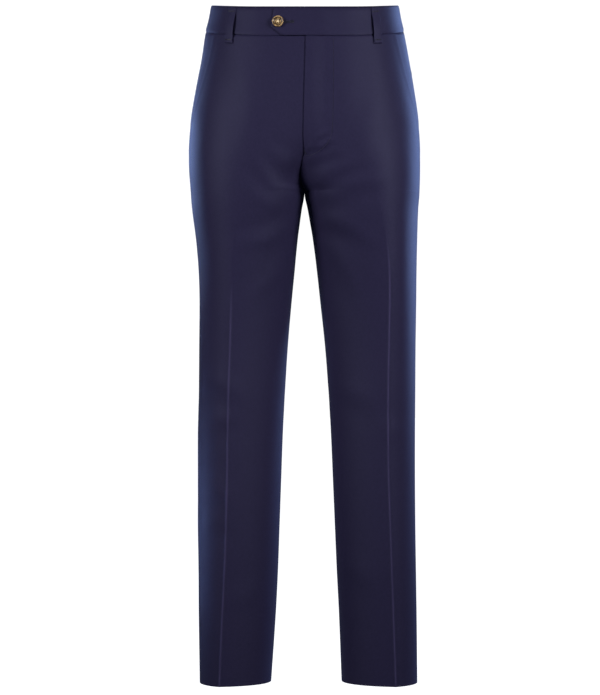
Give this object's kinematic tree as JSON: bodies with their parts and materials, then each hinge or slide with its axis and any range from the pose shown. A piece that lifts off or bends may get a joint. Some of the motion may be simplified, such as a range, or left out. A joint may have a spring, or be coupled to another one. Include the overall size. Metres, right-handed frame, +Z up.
{
  "type": "chino trousers",
  "caption": "Flat-front straight chino trousers filled out as worn, hollow waist and legs, pressed creases, pointed waistband tab with a button.",
  "frame": {"origin": "middle of the waistband ring, half way up the band at the sides, where the wearer holds the trousers up", "axes": "+Z up along the legs, -Y to the front, +X to the wearer's left"},
  "size_m": [0.358, 0.252, 1.0608],
  "materials": {
    "navy_twill": "dark navy satin-faced cotton twill, fine diagonal weave, soft sheen, bluish at grazing angles",
    "horn_button": "mottled brown horn-like, satin polish"
  },
  "bodies": {
    "root": {"front_left": "navy_twill", "front_right": "navy_twill", "back_left": "navy_twill", "back_right": "navy_twill", "pocket_facing_left": "navy_twill", "pocket_facing_right": "navy_twill", "back_welt_left": "navy_twill", "back_welt_right": "navy_twill", "waistband_left": "navy_twill", "waistband_right": "navy_twill", "fly_shield": "navy_twill", "belt_loop_front_left": "navy_twill", "belt_loop_front_right": "navy_twill", "belt_loop_side_left": "navy_twill", "belt_loop_side_right": "navy_twill", "belt_loop_back": "navy_twill", "tab_button": "horn_button"}
  },
  "joints": []
}
